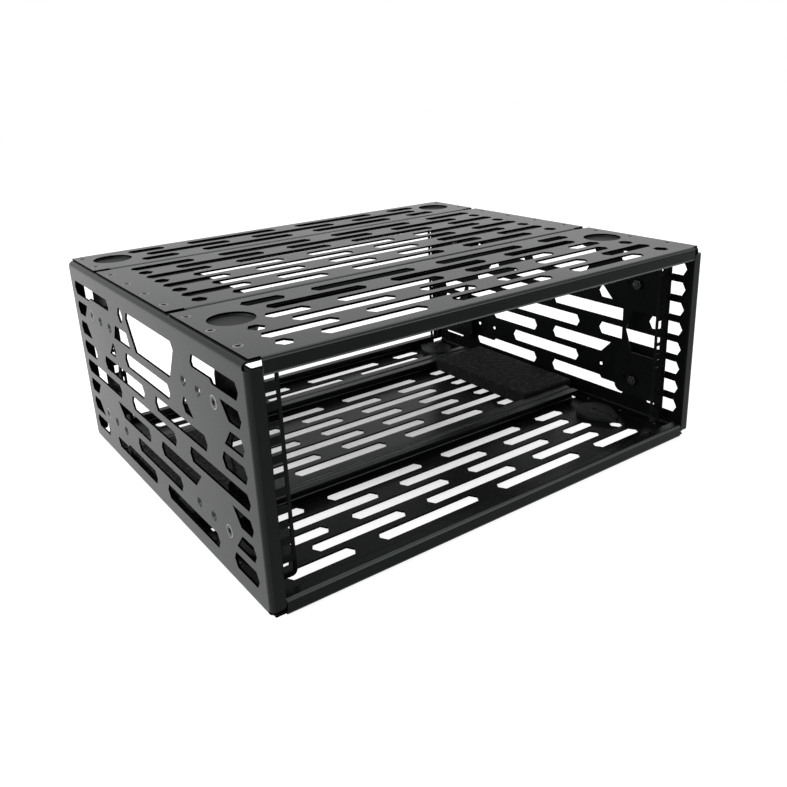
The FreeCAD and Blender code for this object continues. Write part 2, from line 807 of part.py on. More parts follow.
def countersunk_screw(name, diameter, head_diameter, length, sides):
    """A flat-headed screw that points down, with the top of its head at Z = 0."""
    body = new_body(name)
    radius, head = diameter / 2 - s.fit / 3, head_diameter / 2
    for part, reach, depth, taper in (("_head", head, head - radius, countersink), ("_shank", radius, length, 0)):
        sketch = new_sketch(body, name + part, "XY_Plane", 0)
        draw_outlines(sketch, [flats(0, 0, reach, sides)])
        add_pad(body, sketch, depth, reverse=True, taper=taper)
    return body


def spacer(name):
    """A tube whose upper face, at Z = 0, is sunk for the point of the screw's head."""
    body = new_body(name)
    bore = (s.railScrewDiameter + s.fit) / 2
    mouth = s.railHeadDiameter / 2 + s.fit - s.sheet
    ring = new_sketch(body, name + "_ring", "XY_Plane", 0)
    draw_outlines(ring, [flats(0, 0, s.railSpacerDiameter / 2, rail_sides), flats(0, 0, bore, rail_sides)])
    add_pad(body, ring, s.railStandOff, reverse=True)
    sink = new_sketch(body, name + "_mouth", "XY_Plane", 0)
    draw_outlines(sink, [flats(0, 0, mouth, rail_sides)])
    add_pocket(body, sink, mouth - bore, taper=countersink)
    return body


def hex_nut(name):
    """A plain nut with its upper face at Z = 0."""
    body = new_body(name)
    sketch = new_sketch(body, name + "_outline", "XY_Plane", 0)
    flat, point = s.nutFlats / 2, s.nutFlats / math.sqrt(3)
    hexagon = [(flat, -point / 2), (flat, point / 2), (0, point),
               (-flat, point / 2), (-flat, -point / 2), (0, -point)]
    draw_outlines(sketch, [hexagon, flats(0, 0, s.railScrewDiameter / 2, rail_sides)])
    add_pad(body, sketch, s.nutHeight, reverse=True)
    return body


rail_screw_length = s.sheet + s.railStandOff + s.sheet + s.nutHeight + s.sheet / 2
cover_screw = countersunk_screw("cover_screw", s.screwDiameter, cover_head,
                                s.screwLength - s.screwSink, cover_sides)
rail_screw = countersunk_screw("rail_screw", s.railScrewDiameter, s.railHeadDiameter,
                               rail_screw_length, rail_sides)
rail_spacer = spacer("rail_spacer")
rail_nut = hex_nut("rail_nut")
doc.recompute()


def group(name, piece, places):
    """Copies of one piece as separate solids, at places given by position and turn."""
    copies = []
    for position, rotation in places:
        copy = piece.Shape.copy()
        copy.Placement = FreeCAD.Placement(FreeCAD.Vector(*[size(value).value for value in position]), rotation)
        copies.append(copy)
    feature = doc.addObject("Part::Feature", name)
    feature.Label = name
    feature.Shape = Part.Compound(copies)
    return feature


upright = FreeCAD.Rotation()
upside_down = FreeCAD.Rotation(FreeCAD.Vector(1, 0, 0), 180)
from_left = FreeCAD.Rotation(FreeCAD.Vector(0, 1, 0), -90)
from_right = FreeCAD.Rotation(FreeCAD.Vector(0, 1, 0), 90)

screw_groups = []
for panel, rows in (("front", front_screws), ("middle", middle_screws), ("rear", rear_screws)):
    tops = [((x, y, s.frameHeight - s.screwSink), upright) for y in rows for x in (screw_x, -screw_x)]
    floors = [((x, y, s.screwSink), upside_down) for y in rows for x in (screw_x, -screw_x)]
    screw_groups.append(group(f"top_{panel}_cover_screws", cover_screw, tops))
    screw_groups.append(group(f"bottom_{panel}_cover_screws", cover_screw, floors))

rail_groups = []
for side, sign, turn in (("left", -1, from_left), ("right", 1, from_right)):
    for end, y in (("front", -rail_screw_y), ("rear", rail_screw_y)):
        heights = (middle_height + fixing_rise, middle_height - fixing_rise)
        head_x = half_width * sign
        spacer_x = (half_width - s.sheet) * sign
        nut_x = (rail_outer - s.sheet) * sign
        rail_groups.append(group(f"{end}_{side}_rail_screws", rail_screw, [((head_x, y, z), turn) for z in heights]))
        rail_groups.append(group(f"{end}_{side}_rail_spacers", rail_spacer, [((spacer_x, y, z), turn) for z in heights]))
        rail_groups.append(group(f"{end}_{side}_rail_nuts", rail_nut, [((nut_x, y, z), turn) for z in heights]))

pieces = [
    left_side_panel, right_side_panel,
    top_front_cover, top_middle_cover, top_rear_cover,
    bottom_front_cover, bottom_middle_cover, bottom_rear_cover,
    front_left_rail, front_right_rail, rear_left_rail, rear_right_rail,
    left_pad, right_pad, top_left_pad, top_right_pad,
] + cups + screw_groups + rail_groups

doc.recompute()
for item in doc.Objects:
    if "Invalid" in item.State or "Error" in item.State:
        raise RuntimeError(f"{item.Label} failed: {item.State}")
for piece in pieces:
    if piece.Shape.isNull() or not piece.Shape.isValid():
        raise RuntimeError(f"{piece.Label} has no valid shape")

os.makedirs("parts", exist_ok=True)
for piece in pieces:
    piece.Shape.exportStep(f"parts/{piece.Label}.step")
    print(piece.Label, len(piece.Shape.Solids), round(piece.Shape.Volume))
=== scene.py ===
import bpy
import bmesh
import math
from mathutils import Matrix, Vector, noise


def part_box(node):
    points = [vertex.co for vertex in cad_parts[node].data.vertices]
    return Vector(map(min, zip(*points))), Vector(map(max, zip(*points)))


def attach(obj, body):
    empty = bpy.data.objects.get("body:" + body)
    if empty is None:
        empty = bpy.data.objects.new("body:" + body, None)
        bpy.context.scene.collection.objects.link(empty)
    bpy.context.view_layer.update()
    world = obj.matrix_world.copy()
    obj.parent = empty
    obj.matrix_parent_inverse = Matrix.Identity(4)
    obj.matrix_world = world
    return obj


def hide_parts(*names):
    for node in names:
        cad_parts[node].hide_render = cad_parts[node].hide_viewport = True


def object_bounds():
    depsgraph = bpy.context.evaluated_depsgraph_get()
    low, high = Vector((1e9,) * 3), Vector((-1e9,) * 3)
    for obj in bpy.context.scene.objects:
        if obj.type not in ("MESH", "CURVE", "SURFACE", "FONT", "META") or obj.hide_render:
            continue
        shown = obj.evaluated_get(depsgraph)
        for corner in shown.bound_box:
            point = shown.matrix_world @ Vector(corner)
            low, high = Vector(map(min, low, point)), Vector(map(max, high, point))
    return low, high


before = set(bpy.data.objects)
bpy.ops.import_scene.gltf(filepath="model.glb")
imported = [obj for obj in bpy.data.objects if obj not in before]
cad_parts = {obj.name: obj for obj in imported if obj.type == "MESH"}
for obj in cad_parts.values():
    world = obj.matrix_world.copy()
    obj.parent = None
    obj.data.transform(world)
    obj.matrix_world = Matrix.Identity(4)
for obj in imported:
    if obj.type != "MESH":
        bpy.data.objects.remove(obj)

# Rack frame: black coated sheet panels, rack rails, foam pads, corner cups and screws.
# Metres, X right along the open front, Y back, Z up.

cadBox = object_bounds()
print("frame loaded,", len(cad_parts), "CAD nodes")

scene = bpy.context.scene
scene.view_settings.view_transform = "Standard"


# Material helpers

def feed(tree, value, socket):
    # puts a number or a colour on the socket, or links another node's output to it
    if isinstance(value, (int, float)):
        socket.default_value = value
    elif isinstance(value, tuple):
        socket.default_value = (*value, 1.0)
    else:
        tree.links.new(value, socket)


def newGroup(name, inputs, outputs):
    # a shader group with value inputs and named outputs
    tree = bpy.data.node_groups.new(name, "ShaderNodeTree")
    for label, value in inputs.items():
        socket = tree.interface.new_socket(label, in_out="INPUT", socket_type="NodeSocketFloat")
        socket.default_value = value
    for label, kind in outputs.items():
        tree.interface.new_socket(label, in_out="OUTPUT", socket_type=kind)
    entry = tree.nodes.new("NodeGroupInput")
    leave = tree.nodes.new("NodeGroupOutput")
    return tree, entry, leave


def addNoise(tree, coords, scale, detail, roughness=0.55):
    noiseNode = tree.nodes.new("ShaderNodeTexNoise")
    noiseNode.inputs["Detail"].default_value = detail
    noiseNode.inputs["Roughness"].default_value = roughness
    tree.links.new(coords, noiseNode.inputs["Vector"])
    feed(tree, scale, noiseNode.inputs["Scale"])
    return noiseNode.outputs["Fac"]


def addRange(tree, value, fromMin, fromMax, toMin, toMax):
    rangeNode = tree.nodes.new("ShaderNodeMapRange")
    tree.links.new(value, rangeNode.inputs["Value"])
    for label, number in (("From Min", fromMin), ("From Max", fromMax), ("To Min", toMin), ("To Max", toMax)):
        feed(tree, number, rangeNode.inputs[label])
    return rangeNode.outputs["Result"]


def addMath(tree, operation, first, second):
    mathNode = tree.nodes.new("ShaderNodeMath")
    mathNode.operation = operation
    for number, value in enumerate((first, second)):
        feed(tree, value, mathNode.inputs[number])
    return mathNode.outputs[0]


def coatGrainGroup():
    # the fine orange peel of a powder coat, and the slow drift of its gloss
    tree, entry, leave = newGroup("coatGrain", {"Grain Scale": 900.0, "Drift Scale": 9.0},
                                  {"Height": "NodeSocketFloat", "Drift": "NodeSocketFloat"})
    coords = tree.nodes.new("ShaderNodeTexCoord").outputs["Object"]
    fine = addNoise(tree, coords, entry.outputs["Grain Scale"], 2.0, 0.6)
    drift = addNoise(tree, coords, entry.outputs["Drift Scale"], 3.0)
    tree.links.new(fine, leave.inputs["Height"])
    tree.links.new(addRange(tree, drift, 0.3, 0.7, 0.0, 1.0), leave.inputs["Drift"])
    return tree


# painted highlight along sharp edges: the shape of the edge mask and of its noise patches
edgeHighlightShape = {"samples": 4, "flatDot": 0.995, "sharpDot": 0.80,
            "patchLow": 0.35, "patchHigh": 0.65, "leastHighlight": 0.25}


def edgeHighlightGroup(shape):
    # a mask along outer edges, broken up into patches by noise; the colour laid on it is a painted highlight,
    # edges made paler as if they catch the light
    tree, entry, leave = newGroup("edgeHighlight", {"Radius": 0.0012, "Break Scale": 60.0}, {"Mask": "NodeSocketFloat"})
    coords = tree.nodes.new("ShaderNodeTexCoord").outputs["Object"]
    bevel = tree.nodes.new("ShaderNodeBevel")
    bevel.samples = shape["samples"]
    tree.links.new(entry.outputs["Radius"], bevel.inputs["Radius"])
    geometry = tree.nodes.new("ShaderNodeNewGeometry")
    dot = tree.nodes.new("ShaderNodeVectorMath")
    dot.operation = "DOT_PRODUCT"
    tree.links.new(bevel.outputs["Normal"], dot.inputs[0])
    tree.links.new(geometry.outputs["Normal"], dot.inputs[1])
    edge = addRange(tree, dot.outputs["Value"], shape["flatDot"], shape["sharpDot"], 0.0, 1.0)
    patches = addRange(tree, addNoise(tree, coords, entry.outputs["Break Scale"], 4.0),
                       shape["patchLow"], shape["patchHigh"], shape["leastHighlight"], 1.0)
    tree.links.new(addMath(tree, "MULTIPLY", edge, patches), leave.inputs["Mask"])
    return tree


# how far a face's normal goes along the sheet's: less than "wall" on cut walls, between the other two on bends
zoneTurns = {"wall": 0.5, "bendLeast": 0.3, "bendMost": 0.94}


def sheetZonesGroup(turns):
    # masks on a folded sheet: walls of slots and holes, outer face, inner faces, and bends of the lips
    zones = {label: "NodeSocketFloat" for label in ("Wall", "Outer", "Inner", "Bend")}
    tree, entry, leave = newGroup("sheetZones", {"Across": 0.0, "Up": 0.0, "Middle": 0.0, "Face": 0.26}, zones)
    coords = tree.nodes.new("ShaderNodeTexCoord").outputs["Object"]
    normal = tree.nodes.new("ShaderNodeNewGeometry").outputs["True Normal"]

    def alongSheet(vector):
        parts = tree.nodes.new("ShaderNodeSeparateXYZ")
        tree.links.new(vector, parts.inputs[0])
        return addMath(tree, "ADD", addMath(tree, "MULTIPLY", parts.outputs["X"], entry.outputs["Across"]),
                       addMath(tree, "MULTIPLY", parts.outputs["Z"], entry.outputs["Up"]))

    depth = addMath(tree, "ABSOLUTE", addMath(tree, "SUBTRACT", alongSheet(coords), entry.outputs["Middle"]), 0.0)
    nearFace = addMath(tree, "GREATER_THAN", depth, entry.outputs["Face"])
    deep = addMath(tree, "SUBTRACT", 1.0, nearFace)
    squareness = addMath(tree, "ABSOLUTE", alongSheet(normal), 0.0)
    turned = addMath(tree, "LESS_THAN", squareness, turns["wall"])
    facing = addMath(tree, "SUBTRACT", 1.0, turned)
    slanted = addMath(tree, "MULTIPLY", addMath(tree, "GREATER_THAN", squareness, turns["bendLeast"]),
                      addMath(tree, "LESS_THAN", squareness, turns["bendMost"]))
    for label, place, turn in (("Wall", nearFace, turned), ("Outer", nearFace, facing),
                               ("Inner", deep, facing), ("Bend", deep, slanted)):
        tree.links.new(addMath(tree, "MULTIPLY", place, turn), leave.inputs[label])
    return tree


groups = {"coatGrain": coatGrainGroup(), "edgeHighlight": edgeHighlightGroup(edgeHighlightShape),
          "sheetZones": sheetZonesGroup(zoneTurns)}


def useGroup(tree, name, values):
    node = tree.nodes.new("ShaderNodeGroup")
    node.node_tree = groups[name]
    for label, value in values.items():
        node.inputs[label].default_value = value
    return node


def mixColour(tree, mask, colourA, colourB):
    mix = tree.nodes.new("ShaderNodeMix")
    mix.data_type = "RGBA"
    for label, value in (("Factor", mask), ("A", colourA), ("B", colourB)):
        feed(tree, value, mix.inputs[label])
    return mix.outputs["Result"]


def addBump(tree, height, strength, distance):
    bump = tree.nodes.new("ShaderNodeBump")
    bump.inputs["Strength"].default_value = strength
    bump.inputs["Distance"].default_value = distance
    tree.links.new(height, bump.inputs["Height"])
    return bump.outputs["Normal"]


def newMaterial(name):
    material = bpy.data.materials.new(name)
    material.use_nodes = True
    return material, material.node_tree, material.node_tree.nodes["Principled BSDF"]


# Black coated sheet, shared by the panels and the rails with other values

def coatedMaterial(name, finish):
    material, tree, surface = newMaterial(name)
    grain = useGroup(tree, "coatGrain", {"Grain Scale": finish["grainScale"], "Drift Scale": finish["driftScale"]})
    edgeHighlightNode = useGroup(tree, "edgeHighlight", {"Radius": finish["highlightRadius"], "Break Scale": finish["highlightBreakScale"]})
    zones = useGroup(tree, "sheetZones", finish["sheetPlace"])
    # painted highlight: sharp edges are mixed towards the pale highlight colour
    edgeHighlightMask = addMath(tree, "MULTIPLY", edgeHighlightNode.outputs["Mask"], finish["highlightAmount"])
    # painted highlight: bends of the lips get the pale highlight colour, and a higher specular level below, as a
    # light line along each bend
    bendHighlightMask = addMath(tree, "MULTIPLY", zones.outputs["Bend"], finish["bendHighlightAmount"])
    colour = mixColour(tree, grain.outputs["Drift"], finish["darkColour"], finish["paleColour"])
    # painted shade: cut walls of slots and holes near the sheet's face are made near black, and their specular
    # level is set to nothing below
    for mask, over in ((edgeHighlightMask, "highlightColour"), (zones.outputs["Wall"], "wallShadeColour"), (bendHighlightMask, "highlightColour")):
        colour = mixColour(tree, mask, colour, finish[over])
    tree.links.new(colour, surface.inputs["Base Color"])
    rough = addRange(tree, grain.outputs["Drift"], 0.0, 1.0, finish["smoothest"], finish["roughest"])
    tree.links.new(rough, surface.inputs["Roughness"])
    level = finish["flangeSpecular"]
    for zone, specular in (("Inner", "innerSpecular"), ("Outer", "specular"), ("Bend", "bendSpecular"),
                           ("Wall", "wallSpecular")):
        level = addRange(tree, zones.outputs[zone], 0.0, 1.0, level, finish[specular])
    tree.links.new(level, surface.inputs["Specular IOR Level"])
    surface.inputs["Specular Tint"].default_value = (*finish["tint"], 1.0)
    tree.links.new(addBump(tree, grain.outputs["Height"], finish["bumpStrength"], finish["bumpDepth"]),
                   surface.inputs["Normal"])
    return material


# In these finishes the pale edge colour is a painted highlight on edges and bends.
coverFinish = {
    "darkColour": (0.0048, 0.0052, 0.0051), "paleColour": (0.0070, 0.0076, 0.0074),
    # painted shade: the near-black wall colour, with no specular, darkens the cut walls of slots and holes
    "highlightColour": (0.045, 0.047, 0.047), "wallShadeColour": (0.0005, 0.0005, 0.0005), "wallSpecular": 0.0,
    "grainScale": 1400.0, "driftScale": 7.0, "highlightRadius": 0.0008, "highlightBreakScale": 70.0, "highlightAmount": 0.3,
    "smoothest": 0.24, "roughest": 0.29, "specular": 0.21, "flangeSpecular": 0.075, "innerSpecular": 0.10,
    "bendSpecular": 0.42, "bendHighlightAmount": 0.6, "tint": (0.89, 1.0, 0.98),
    "bumpStrength": 0.14, "bumpDepth": 0.0002,
    "sheetPlace": {"Across": 0.0, "Up": 1.0, "Middle": 0.108, "Face": 0.1064},
}
sideFinish = dict(coverFinish, specular=0.14, flangeSpecular=0.085, innerSpecular=0.02, bendSpecular=0.12,
                  bendHighlightAmount=0.05, sheetPlace={"Across": 1.0, "Up": 0.0, "Middle": 0.0, "Face": 0.2601})
railFinish = dict(coverFinish, flangeSpecular=0.045, innerSpecular=0.02, bendSpecular=0.2, bendHighlightAmount=0.2,
                  sheetPlace={"Across": 1.0, "Up": 0.0, "Middle": 0.0, "Face": 1.0})
coverBlack = coatedMaterial("coverBlack", coverFinish)
sideBlack = coatedMaterial("sideBlack", sideFinish)
railBlack = coatedMaterial("railBlack", railFinish)

# Moulded black plastic of the corner cups
cupFinish = dict(railFinish, darkColour=(0.006, 0.006, 0.006), paleColour=(0.010, 0.010, 0.010),
                 grainScale=800.0, smoothest=0.5, roughest=0.6, flangeSpecular=0.12, innerSpecular=0.12,
                 bendSpecular=0.2, bendHighlightAmount=0.1, highlightAmount=0.2)
cupBlack = coatedMaterial("cupPlastic", cupFinish)

# Painted shade: the coat inside small holes is made near black, darker than elsewhere, for the little light that
# falls there
seatShadeFinish = dict(railFinish, darkColour=(0.0010, 0.0010, 0.0010), paleColour=(0.0018, 0.0018, 0.0018))
seatShadeBlack = coatedMaterial("holeSeatShade", seatShadeFinish)
print("coated materials made")


# Bright and dark metals of the fasteners

def metalMaterial(name, finish):
    material, tree, surface = newMaterial(name)
    grain = useGroup(tree, "coatGrain", {"Grain Scale": finish["grainScale"], "Drift Scale": finish["driftScale"]})
    edgeHighlightNode = useGroup(tree, "edgeHighlight", {"Radius": finish["highlightRadius"], "Break Scale": finish["highlightBreakScale"]})
    # painted highlight: the edges of fasteners are mixed towards a paler colour
    colour = mixColour(tree, edgeHighlightNode.outputs["Mask"], finish["colour"], finish["highlightColour"])
    tree.links.new(colour, surface.inputs["Base Color"])
    surface.inputs["Metallic"].default_value = finish["metallic"]
    rough = addRange(tree, grain.outputs["Drift"], 0.0, 1.0, finish["smoothest"], finish["roughest"])
    tree.links.new(rough, surface.inputs["Roughness"])
    tree.links.new(addBump(tree, grain.outputs["Height"], finish["bumpStrength"], finish["bumpDepth"]),
                   surface.inputs["Normal"])
    return material


railScrewFinish = {
    "colour": (0.012, 0.0125, 0.0125), "highlightColour": (0.22, 0.22, 0.225), "metallic": 0.3,
    "smoothest": 0.34, "roughest": 0.46, "grainScale": 2500.0, "driftScale": 300.0,
    "highlightRadius": 0.0003, "highlightBreakScale": 500.0, "bumpStrength": 0.15, "bumpDepth": 0.0001,
}
coverScrewFinish = dict(railScrewFinish, colour=(0.006, 0.006, 0.006), highlightColour=(0.12, 0.12, 0.12), metallic=0.2)
# painted highlight: the screw rim gets a pale metal colour, standing in for the light its edge catches
rimHighlightFinish = dict(railScrewFinish, colour=(0.34, 0.345, 0.345), highlightColour=(0.42, 0.42, 0.42), metallic=0.9,
                 smoothest=0.5, roughest=0.6)
# painted shade: the socket of a screw is made near black
socketShadeFinish = dict(railScrewFinish, colour=(0.002, 0.002, 0.002), highlightColour=(0.01, 0.01, 0.01), metallic=0.0,
                    smoothest=0.8, roughest=0.9)
spacerFinish = dict(railScrewFinish, colour=(0.004, 0.004, 0.004), highlightColour=(0.02, 0.02, 0.02), metallic=0.0)
nutFinish = dict(railScrewFinish, colour=(0.006, 0.006, 0.006), highlightColour=(0.09, 0.09, 0.09), metallic=0.1)
coverScrewMetal = metalMaterial("coverScrewSteel", coverScrewFinish)
railScrewMetal = metalMaterial("railScrewSteel", railScrewFinish)
rimHighlightMetal = metalMaterial("screwRimHighlight", rimHighlightFinish)
socketShadeBlack = metalMaterial("socketShade", socketShadeFinish)
spacerMetal = metalMaterial("spacerMetal", spacerFinish)
nutMetal = metalMaterial("nutSteel", nutFinish)


# Foam: black open cells, mottled

foamFinish = {
    "darkColour": (0.0014, 0.0014, 0.0014), "paleColour": (0.034, 0.033, 0.034),
    "cellScale": 420.0, "cellShare": 0.6, "mottleScale": 150.0, "mottleDetail": 5.0, "mottleRoughness": 0.7,
    "patchRange": (0.47, 0.64), "sideTurns": (0.2, 0.8), "sideShadeShare": 0.25,
    "bumpStrength": 0.9, "bumpDepth": 0.0012, "roughness": 0.95, "specular": 0.25,
}


def foamMaterial(finish):
    material, tree, surface = newMaterial("blackFoam")
    coords = tree.nodes.new("ShaderNodeTexCoord").outputs["Object"]
    cells = tree.nodes.new("ShaderNodeTexVoronoi")
    cells.inputs["Scale"].default_value = finish["cellScale"]
    tree.links.new(coords, cells.inputs["Vector"])
    mottle = addNoise(tree, coords, finish["mottleScale"], finish["mottleDetail"], finish["mottleRoughness"])
    patches = addRange(tree, mottle, *finish["patchRange"], 0.0, 1.0)
    pores = addMath(tree, "MULTIPLY", cells.outputs["Distance"], finish["cellShare"])
    height = addMath(tree, "ADD", pores, mottle)
    turn = tree.nodes.new("ShaderNodeSeparateXYZ")
    tree.links.new(tree.nodes.new("ShaderNodeNewGeometry").outputs["Normal"], turn.inputs[0])
    upright = addMath(tree, "ABSOLUTE", turn.outputs["Z"], 0.0)
    # painted shade: the pale patches are held back on the upright sides of a pad, so its sides come out darker
    # than its top
    sideShadeFactor = addRange(tree, upright, *finish["sideTurns"], finish["sideShadeShare"], 1.0)  # few on the sides
    colour = mixColour(tree, addMath(tree, "MULTIPLY", patches, sideShadeFactor),
                       finish["darkColour"], finish["paleColour"])
    tree.links.new(colour, surface.inputs["Base Color"])
    surface.inputs["Roughness"].default_value = finish["roughness"]
    surface.inputs["Specular IOR Level"].default_value = finish["specular"]
    tree.links.new(addBump(tree, height, finish["bumpStrength"], finish["bumpDepth"]), surface.inputs["Normal"])
    return material


foamBlack = foamMaterial(foamFinish)
print("foam and metal materials made")


# The CAD nodes that stay get their finishes

def finishNode(name, material):
    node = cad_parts[name]
    node.data.materials.clear()
    node.data.materials.append(material)


sides = ("left", "right")
ends = ("front", "rear")
levels = ("top", "bottom")
for side in sides:
    finishNode(side + "_side_panel", sideBlack)
for level in levels:
    for place in ("front", "middle", "rear"):
        finishNode(f"{level}_{place}_cover", coverBlack)
for end in ends:
    for side in sides:
        finishNode(f"{end}_{side}_rack_rail", railBlack)
print("CAD nodes finished")


# Modelling helpers

bevelAngle, smoothAngle = math.radians(35), math.radians(32)
clearCut = 0.001  # how far a cutter stands out of the piece
squareTurn = 0.9  # a face counts as square to an axis when its normal goes this far along it


def deselectAll():
    for item in bpy.context.selected_objects:
        item.select_set(False)


def startPiece(name):
    # names the primitive just added and puts its place into its mesh
    piece = bpy.context.active_object
    piece.name = name
    piece.data.name = name
    bpy.ops.object.transform_apply(location=True, rotation=True, scale=True)
    return piece


def applyModifier(piece, kind, **settings):
    modifier = piece.modifiers.new(kind.lower(), kind)
    for label, value in settings.items():
        setattr(modifier, label, value)
    bpy.context.view_layer.objects.active = piece
    bpy.ops.object.modifier_apply(modifier=modifier.name)


def pickFaces(piece, wanted):
    # in edit mode, selects only the faces whose middle and normal suit the test
    bpy.ops.mesh.select_mode(type="FACE")
    bpy.ops.mesh.select_all(action="DESELECT")
    mesh = bmesh.from_edit_mesh(piece.data)
    for face in mesh.faces:
        if wanted(face.calc_center_median(), face.normal):
            face.select_set(True)
    bmesh.update_edit_mesh(piece.data)


def cutAway(piece, cutter):
    # takes the cutter's shape out of the piece, then throws the cutter away
    applyModifier(piece, "BOOLEAN", operation="DIFFERENCE", object=cutter, solver="EXACT")
    bpy.data.objects.remove(cutter)


def softEdges(piece, width, segments):
    applyModifier(piece, "BEVEL", width=width, segments=segments, limit_method="ANGLE",
                  angle_limit=bevelAngle, use_clamp_overlap=True)
    deselectAll()
    piece.select_set(True)
    bpy.context.view_layer.objects.active = piece
    bpy.ops.object.shade_smooth_by_angle(angle=smoothAngle)


def roundBar(name, segments, radius, low, high):
    deselectAll()
    bpy.ops.mesh.primitive_cylinder_add(vertices=segments, radius=radius, depth=high - low,
                                        location=(0, 0, (low + high) / 2))
    return startPiece(name)


def pieceName(node):
    words = node.split("_")
    return words[0] + "".join(word.title() for word in words[1:])


def joinCopies(model, name, places):
    # one copy of the model at each place, joined to one piece
    deselectAll()
    for place in places:
        copy = model.copy()
        copy.data = model.data.copy()
        copy.data.transform(place)
        scene.collection.objects.link(copy)
        copy.select_set(True)
        bpy.context.view_layer.objects.active = copy
    bpy.ops.object.join()
    piece = bpy.context.active_object
    piece.name = piece.data.name = name
    return piece


def setCopies(model, node, places):
    # the joined copies stand for the node
    piece = joinCopies(model, pieceName(node), places)
    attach(piece, "root")
    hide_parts(node)


# Countersunk screws: a hexagon socket in the cover screws, a six-lobed one in the rail screws

coverScrew = {
    "name": "coverScrewModel", "segments": 32, "head": 0.0040, "shank": 0.0019, "cone": 0.0020, "length": 0.0049,
    "rim": 0.00055, "dish": 0.00012, "socketSides": 6, "socketReach": 0.0021, "lobes": 0.0, "socketDepth": 0.0016,
    "bevel": 0.00012,
}
railScrew = {
    "name": "railScrewModel", "segments": 48, "head": 0.0060, "shank": 0.0029, "cone": 0.0030, "length": 0.0224,
    "rim": 0.0007, "dish": 0.00015, "socketSides": 36, "socketReach": 0.0027, "lobes": 0.24, "socketDepth": 0.0024,
    "bevel": 0.00015,
}
screwFaces = {"socketReach": 1.25, "socketTop": 1.5, "socketFloor": 1.1, "rimDrop": 0.0004}


def screwModel(shape, metal):
    # its face is at the origin and looks up
    deselectAll()
    bpy.ops.mesh.primitive_cone_add(vertices=shape["segments"], radius1=shape["shank"], radius2=shape["head"],
                                    depth=shape["cone"], location=(0, 0, -shape["cone"] / 2))
    screw = startPiece(shape["name"])
    bpy.ops.object.mode_set(mode="EDIT")
    pickFaces(screw, lambda middle, normal: normal.z < -squareTurn)
    bpy.ops.mesh.extrude_region_move(TRANSFORM_OT_translate={"value": (0, 0, shape["cone"] - shape["length"])})
    pickFaces(screw, lambda middle, normal: normal.z > squareTurn)
    bpy.ops.mesh.inset(thickness=shape["rim"], depth=0)
    bpy.ops.mesh.inset(thickness=shape["dish"], depth=-shape["dish"])
    bpy.ops.object.mode_set(mode="OBJECT")
    socket = roundBar("socketCutter", shape["socketSides"], shape["socketReach"],
                      -shape["socketDepth"], shape["socketDepth"])
    for vertex in socket.data.vertices:
        swell = 1 + shape["lobes"] * math.cos(6 * math.atan2(vertex.co.y, vertex.co.x))
        vertex.co.x *= swell
        vertex.co.y *= swell
    cutAway(screw, socket)
    softEdges(screw, shape["bevel"], 2)
    for material in (metal, rimHighlightMetal, socketShadeBlack):
        screw.data.materials.append(material)
    # rim faces get the painted highlight, faces in the socket the painted shade
    for face in screw.data.polygons:
        reach = math.hypot(face.center.x, face.center.y)
        depth = -face.center.z
        inSocket = (reach < shape["socketReach"] * screwFaces["socketReach"]
                    and shape["dish"] * screwFaces["socketTop"] < depth
                    and depth < shape["socketDepth"] * screwFaces["socketFloor"])
        if inSocket:
            face.material_index = 2
        elif reach > shape["head"] - shape["rim"] and depth < screwFaces["rimDrop"]:
            face.material_index = 1
    return screw


flipped = Matrix.Rotation(math.pi, 4, "X")
coverScrewModel = screwModel(coverScrew, coverScrewMetal)
head = coverScrew["head"]
for level in levels:
    for place, rows in (("front", 3), ("middle", 4), ("rear", 2)):
        node = f"{level}_{place}_cover_screws"
        low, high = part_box(node)
        step = (high.y - low.y - 2 * head) / (rows - 1)
        face, turn = (high.z, Matrix()) if level == "top" else (low.z, flipped)
        spots = [Vector((x, low.y + head + step * row, face)) for row in range(rows)
                 for x in (low.x + head, high.x - head)]
        setCopies(coverScrewModel, node, [Matrix.Translation(spot) @ turn for spot in spots])
bpy.data.objects.remove(coverScrewModel)
print("cover screws made")


# Spacers and nuts that hold the rails off the side panels

spacerShape = {"segments": 40, "radius": 0.0069, "bore": 0.0032, "boreSegments": 32, "length": 0.0124,
               "bevel": 0.0004}
nutShape = {"segments": 6, "radius": 0.00577, "halfFlats": 0.005, "bore": 0.0030, "boreSegments": 32,
            "length": 0.0050, "bevel": 0.0003}


def tubeModel(name, shape, metal):
    # its outer end is at the origin
    tube = roundBar(name, shape["segments"], shape["radius"], -shape["length"], 0.0)
    cutAway(tube, roundBar("boreCutter", shape["boreSegments"], shape["bore"],
                           -shape["length"] - clearCut, clearCut))
    softEdges(tube, shape["bevel"], 2)
    tube.data.materials.append(metal)
    return tube


spacerModel = tubeModel("spacerModel", spacerShape, spacerMetal)
nutModel = tubeModel("nutModel", nutShape, nutMetal)
railScrewModel = screwModel(railScrew, railScrewMetal)


def sidePlaces(node, side, radius):
    # two places at the node's outer face, pointing into the frame
    low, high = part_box(node)
    face, angle = (low.x, -90) if side == "left" else (high.x, 90)
    turn = Matrix.Rotation(math.radians(angle), 4, "Y")
    middle = (low.y + high.y) / 2
    return [Matrix.Translation((face, middle, z)) @ turn for z in (low.z + radius, high.z - radius)]


for end in ends:
    for side in sides:
        for kind, model, slotName in (("rail_screws", railScrewModel, "screw_steel"),
                                      ("rail_spacers", spacerModel, "spacer_aluminium"),
                                      ("rail_nuts", nutModel, "nut_steel")):
            node = f"{end}_{side}_{kind}"
            low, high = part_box(node)
            reach = nutShape["halfFlats"] if kind == "rail_nuts" else (high.y - low.y) / 2
            setCopies(model, node, sidePlaces(node, side, reach))
for model in (railScrewModel, spacerModel, nutModel):
    bpy.data.objects.remove(model)
print("rail fasteners made")


# Conical seats that line the spare rail holes of the side panels

